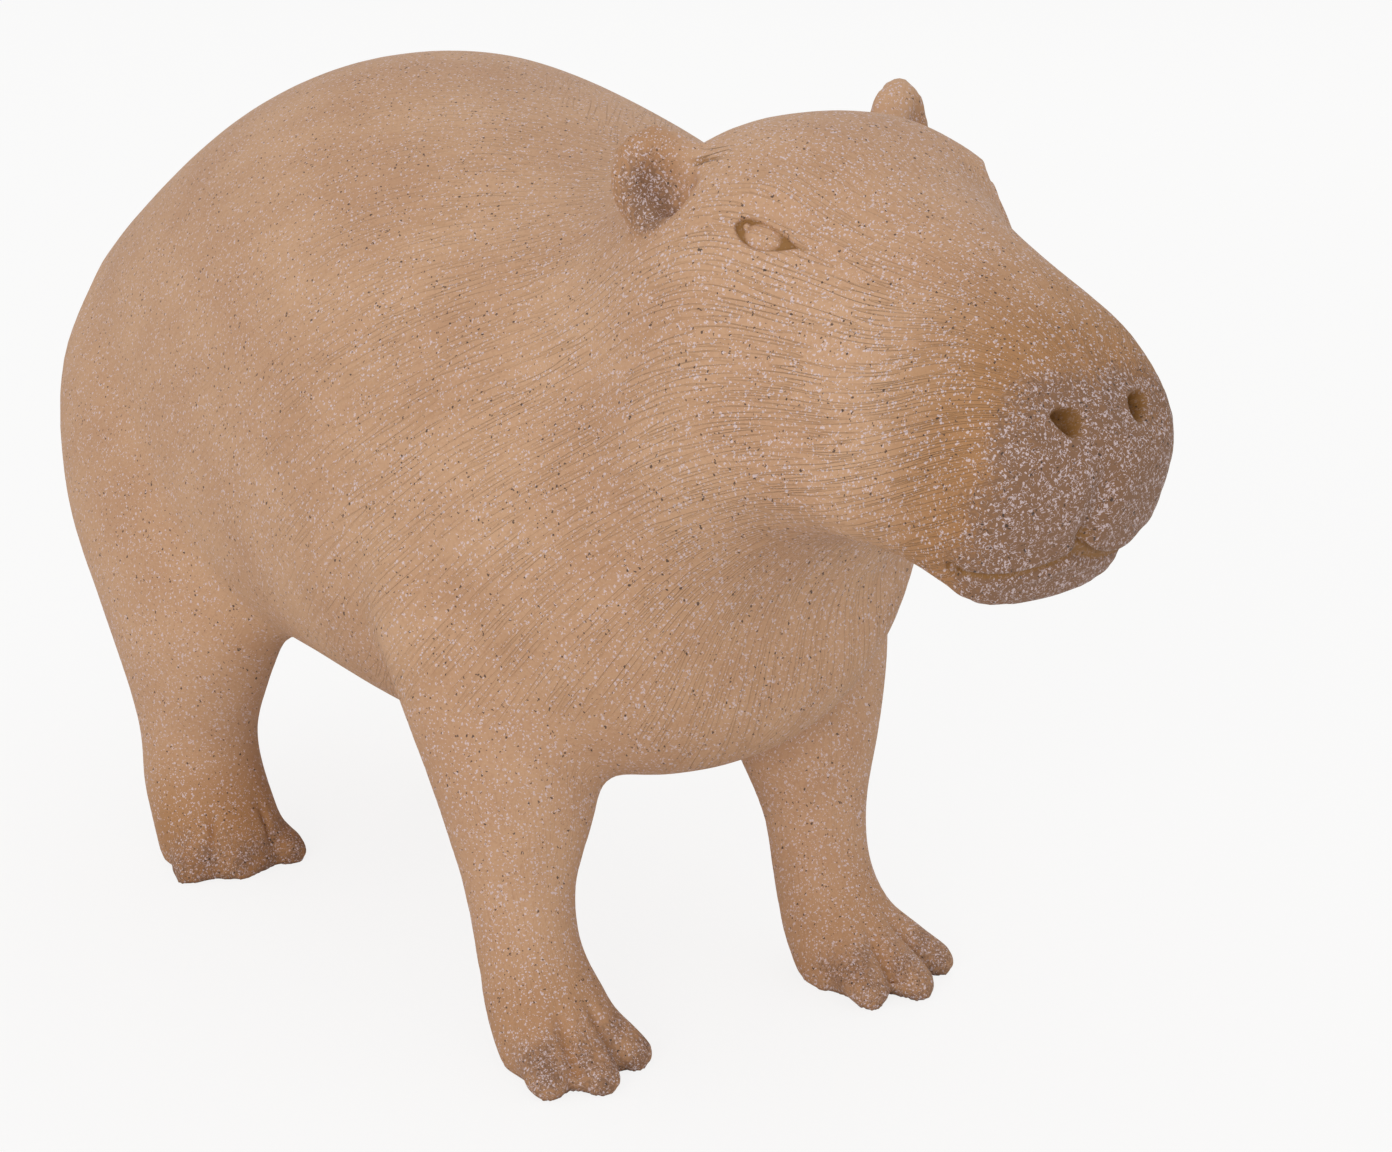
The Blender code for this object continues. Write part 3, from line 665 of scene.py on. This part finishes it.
# Three vectors for each point that the stone reads: where it lies in the coat, its paint together with the
# painted shade of the strokes and the ear hollows, and its grain
def coatLayers(points, normals, recess, cleft, c, f):
    legShare = legShareAt(points, c)
    wash, warm, muzzle = coatWash(points, normals, cleft, c, f)
    strong = coatStrong(points, normals, recess, legShare, muzzle, c, f)
    tone = sum(share * drift(points, length, seed) for share, length, seed in c["patches"])
    least, onHead, onLegs, onWash = c["grit"]
    grit = least + onHead * stepped(points[:, 0], *c["gritHead"]) + onLegs * legShare + onWash * wash
    return {
        "flow": coatFlow(points, legShare, c),
        "paintAndShade": np.stack([wash, recess, strong], axis=1),
        "stone": np.stack([tone, grit, warm], axis=1),
    }


base, shaped, triangles, normals, recess, cleft = carvedFigure(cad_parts["capybara_figure"], figure)
layers = coatLayers(base, normals, recess, cleft, coat, figure)
sculpture = pieceFrom("carvedCapybara", shaped - np.array([figure["ahead"], 0, 0]), triangles, layers)
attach(sculpture, "root")
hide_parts("capybara_figure")
print("figure carved")


# sRGB hex to linear: (c + 0.055) / 1.055 to the power 2.4, or c / 12.92 for very dark values
def linear(code):
    parts = [int(code[i : i + 2], 16) / 255 for i in (1, 3, 5)]
    return tuple(((c + 0.055) / 1.055) ** 2.4 if c > 0.04045 else c / 12.92 for c in parts) + (1,)


# Adds one node with its settings. An input is a plain value, a node whose first output is linked, or
# a socket.
def addNode(tree, kind, inputs, **settings):
    node = tree.nodes.new("ShaderNode" + kind)
    for key, value in settings.items():
        setattr(node, key, value)
    for key, value in inputs.items():
        if isinstance(value, bpy.types.Node):
            value = value.outputs[0]
        if isinstance(value, bpy.types.NodeSocket):
            tree.links.new(value, node.inputs[key])
        else:
            node.inputs[key].default_value = value
    return node


# Cast stone: resin bound with marble and mica grit, tinted in the mass, cast in a soft mould and matt
# sealed. It looks dry and even, with pale grit of 0.2 to 0.6 mm and a few black grains showing at the skin.
# The finest grit, under 0.2 mm, is drawn at 0.2 mm so that it shows.
stone = {
    "tan": "#C69E7C",
    "tanDeep": "#B78D6C",
    # painted shade in the beds of the carved strokes
    "groove": "#A1764C",
    "warm": "#9C6A34",
    "wash": "#7E5D46",
    "ochre": "#8C622D",
    "fleck": "#D6C5C8",
    "speck": "#3B2E2B",
    "roughness": 0.72,
    "ior": 1.48,
    "noise": 1.8,              # scale of the fine noise, per mm
    "wobble": (1.3, -1.1, 1.2),          # how far it shifts the grains, mm
    "strokeAcross": 1.25,      # mm between strokes
    "strokeAlong": 13.0,
    "strokeInward": 0.12,      # per mm
    "strokeDeep": 0.16,
    "strokeNoise": 1.15,
    "strokeLine": (0.075, 0.012),        # the noise's distance from its middle at a stroke's edge and bed
    "grit": 0.55,              # mm between grains, and their smallest and largest radius
    "gritSize": (0.09, 0.31),
    "gritEdge": (-0.03, 0.06),
    "blackFrom": 0.9,          # cells that draw more than this hold a black grain
    "curlLine": (0.06, 0.01),
    "curlShare": 0.45,
    "recessBare": 0.85,        # share of its pale grit that a recess loses
    "ragged": 0.9,             # how far the fine noise moves the edge of the wash
    "mottled": 1.3,
    "washFade": (0.05, 0.95),
    # how strongly each colour covers those before it
    "cover": {
        "tan": 1.0, "warm": 0.75, "groove": 0.34, "wash": 0.9, "ochre": 0.95, "fleck": 0.74, "speck": 0.85,
    },
}


# 1 along the thin line where a noise passes its middle value, 0 off it
def thinLine(tree, noise, sides):
    edge, bed = sides
    offset = addNode(tree, "Math", {0: noise, 1: 0.5}, operation="SUBTRACT")
    far = addNode(tree, "Math", {0: offset}, operation="ABSOLUTE")
    span = {"Value": far, "From Min": edge, "From Max": bed}
    return addNode(tree, "MapRange", span, interpolation_type="SMOOTHSTEP")


def castStone(s):
    material = bpy.data.materials.new("castStoneMatt")
    material.use_nodes = True
    tree = material.node_tree
    shader = tree.nodes["Principled BSDF"]
    flow, paintAndShade, stoneAt = (
        addNode(tree, "Attribute", {}, attribute_name=name).outputs["Vector"]
        for name in ("flow", "paintAndShade", "stone")
    )
    wash, recess, strong = addNode(tree, "SeparateXYZ", {0: paintAndShade}).outputs
    tone, share, warm = addNode(tree, "SeparateXYZ", {0: stoneAt}).outputs
    inMetres = addNode(tree, "TexCoord", {}).outputs["Object"]
    place = addNode(tree, "Mapping", {"Vector": inMetres, "Scale": [toMillimetres] * 3})
    grain = addNode(tree, "TexNoise", {"Vector": place, "Scale": s["noise"], "Detail": 0.0})
    wobbled = addNode(tree, "VectorMath", {0: grain, 1: s["wobble"], 2: place}, operation="MULTIPLY_ADD")

    # strokes: thin lines of a noise that is drawn out along the coat. Each line is a bump, and the groove
    # colour paints shade into its bed.
    narrowed = (1 / s["strokeAcross"], 1 / s["strokeAlong"], s["strokeInward"])
    drawn = addNode(tree, "Mapping", {"Vector": flow, "Scale": narrowed})
    swell = addNode(tree, "TexNoise", {"Vector": drawn, "Scale": s["strokeNoise"], "Detail": 0.0})
    line = thinLine(tree, swell, s["strokeLine"])
    cut = addNode(tree, "Math", {0: line, 1: strong}, operation="MULTIPLY")

    # grit: round grains near the middles of random cells, most of them small; the cell's random colour says
    # which, pale below the share for its place and black above a fixed one
    smallest, largest = (radius / s["grit"] for radius in s["gritSize"])
    cells = addNode(tree, "TexVoronoi", {"Vector": wobbled, "Scale": 1 / s["grit"]})
    sort, few, bent = addNode(tree, "SeparateColor", {"Color": cells.outputs["Color"]}).outputs
    few = addNode(tree, "Math", {0: few, 1: 2.0}, operation="POWER")
    size = addNode(tree, "Math", {0: few, 1: largest - smallest, 2: smallest}, operation="MULTIPLY_ADD")
    room = addNode(tree, "Math", {0: size, 1: cells.outputs["Distance"]}, operation="SUBTRACT")
    outer, inner = s["gritEdge"]
    span = {"Value": room, "From Min": outer, "From Max": inner}
    inside = addNode(tree, "MapRange", span, interpolation_type="SMOOTHSTEP")
    pale = addNode(tree, "Math", {0: sort, 1: share}, operation="LESS_THAN")
    dark = addNode(tree, "Math", {0: sort, 1: s["blackFrom"]}, operation="GREATER_THAN")
    flecks = addNode(tree, "Math", {0: inside, 1: pale}, operation="MULTIPLY")
    specks = addNode(tree, "Math", {0: inside, 1: dark}, operation="MULTIPLY")

    # on the washed muzzle the pale mica shows as short curls: lines of the fine noise, broken up by cell
    curl = thinLine(tree, grain, s["curlLine"])
    broken = addNode(tree, "Math", {0: bent, 1: s["curlShare"]}, operation="LESS_THAN")
    curls = addNode(tree, "Math", {0: curl, 1: broken}, operation="MULTIPLY")
    curls = addNode(tree, "Math", {0: curls, 1: wash}, operation="MULTIPLY")
    palest = addNode(tree, "Math", {0: flecks, 1: curls}, operation="MAXIMUM")
    holds = addNode(tree, "Math", {0: recess, 1: -s["recessBare"], 2: 1.0}, operation="MULTIPLY_ADD")
    palest = addNode(tree, "Math", {0: palest, 1: holds}, operation="MULTIPLY")

    # the wash breaks up at its edge with the grain of the stone
    ragged = addNode(tree, "Math", {0: grain, 1: s["ragged"], 2: -s["ragged"] / 2}, operation="MULTIPLY_ADD")
    worn = addNode(tree, "Math", {0: wash, 1: ragged}, operation="ADD")
    thin, full = s["washFade"]
    span = {"Value": worn, "From Min": thin, "From Max": full}
    washed = addNode(tree, "MapRange", span, interpolation_type="SMOOTHSTEP")

    mottle = {0: grain, 1: s["mottled"], 2: -s["mottled"] / 2}
    mottled = addNode(tree, "Math", mottle, operation="MULTIPLY_ADD")
    mottled = addNode(tree, "Math", {0: tone, 1: mottled}, operation="ADD", use_clamp=True)
    colour = linear(s["tanDeep"])
    # the groove colour over the stroke lines is painted shade; in the ear hollows the wash is partly painted
    # shade
    for amount, over in (
        (mottled, "tan"), (warm, "warm"), (cut, "groove"), (washed, "wash"),
        (recess, "ochre"), (palest, "fleck"), (specks, "speck"),
    ):
        part = addNode(tree, "Math", {0: amount, 1: s["cover"][over]}, operation="MULTIPLY")
        # a colour Mix node has its two colours on inputs 6 and 7, and its result on output 2
        mixed = addNode(tree, "Mix", {0: part, 6: colour, 7: linear(s[over])}, data_type="RGBA")
        colour = mixed.outputs[2]
    height = addNode(tree, "Math", {0: cut, 1: -s["strokeDeep"]}, operation="MULTIPLY")
    relief = addNode(tree, "Bump", {"Strength": 1.0, "Distance": toMetres, "Height": height})
    tree.links.new(colour, shader.inputs["Base Color"])
    tree.links.new(relief.outputs[0], shader.inputs["Normal"])
    shader.inputs["Roughness"].default_value = s["roughness"]
    shader.inputs["IOR"].default_value = s["ior"]
    return material


sculpture.data.materials.append(castStone(stone))
print("stone mixed")

# Studio: a pale floor that runs out of view, a large soft lamp low ahead at the animal's right, a weaker
# one higher up behind at its left, and a pale sky
studio = {
    "floorSize": 24.0,         # m
    "floor": "#EDEBE8",
    "floorRough": 0.9,
    "floorGloss": 0.1,
    "floorGlow": 0.84,         # how much of the floor is seen as plain white
    "sky": "#F4F4F5",
    "skyStrength": 0.84,
    "aim": (0, 0, 0.08),       # m, the point that both lamps face
    "lamps": [
        # name, place (m), size (m), watts
        ("softboxFront", (1.2, -1.6, 0.65), 1.0, 12.5),
        ("softboxBack", (-0.9, 1.1, 1.2), 1.1, 2.0),
    ],
}


def stageFloor(s):
    half = s["floorSize"] / 2
    grid = np.array([(-half, -half, 0), (half, -half, 0), (half, half, 0), (-half, half, 0)])
    floor = pieceFrom("paleFloor", grid * toMillimetres, np.array([(0, 1, 2), (0, 2, 3)]), {})
    material = bpy.data.materials.new("paperSweep")
    material.use_nodes = True
    tree = material.node_tree
    shader = tree.nodes["Principled BSDF"]
    shader.inputs["Base Color"].default_value = linear(s["floor"])
    shader.inputs["Roughness"].default_value = s["floorRough"]
    shader.inputs["Specular IOR Level"].default_value = s["floorGloss"]
    isSeen = addNode(tree, "LightPath", {}).outputs["Is Camera Ray"]
    white = addNode(tree, "Emission", {"Color": (1, 1, 1, 1), "Strength": 1.0})
    glow = addNode(tree, "Math", {0: isSeen, 1: s["floorGlow"]}, operation="MULTIPLY")
    join = addNode(tree, "MixShader", {0: glow, 1: shader, 2: white})
    tree.links.new(join.outputs[0], tree.nodes["Material Output"].inputs["Surface"])
    floor.data.materials.append(material)


def stageLight(s):
    for name, place, size, power in s["lamps"]:
        data = bpy.data.lights.new(name, "AREA")
        data.size = size
        data.energy = power
        lamp = bpy.data.objects.new(name, data)
        lamp.location = place
        lamp.rotation_euler = (Vector(s["aim"]) - Vector(place)).to_track_quat("-Z", "Y").to_euler()
        scene.collection.objects.link(lamp)
    world = bpy.data.worlds.new("paleSky")
    world.use_nodes = True
    tree = world.node_tree
    sky = tree.nodes["Background"]
    sky.inputs["Color"].default_value = linear(s["sky"])
    sky.inputs["Strength"].default_value = s["skyStrength"]
    isSeen = addNode(tree, "LightPath", {}).outputs["Is Camera Ray"]
    white = addNode(tree, "Background", {"Color": (1, 1, 1, 1), "Strength": 1.0})
    join = addNode(tree, "MixShader", {0: isSeen, 1: sky, 2: white})
    tree.links.new(join.outputs[0], tree.nodes["World Output"].inputs["Surface"])
    scene.world = world


stageFloor(studio)
stageLight(studio)
scene.view_settings.view_transform = "Standard"
print("studio lit")
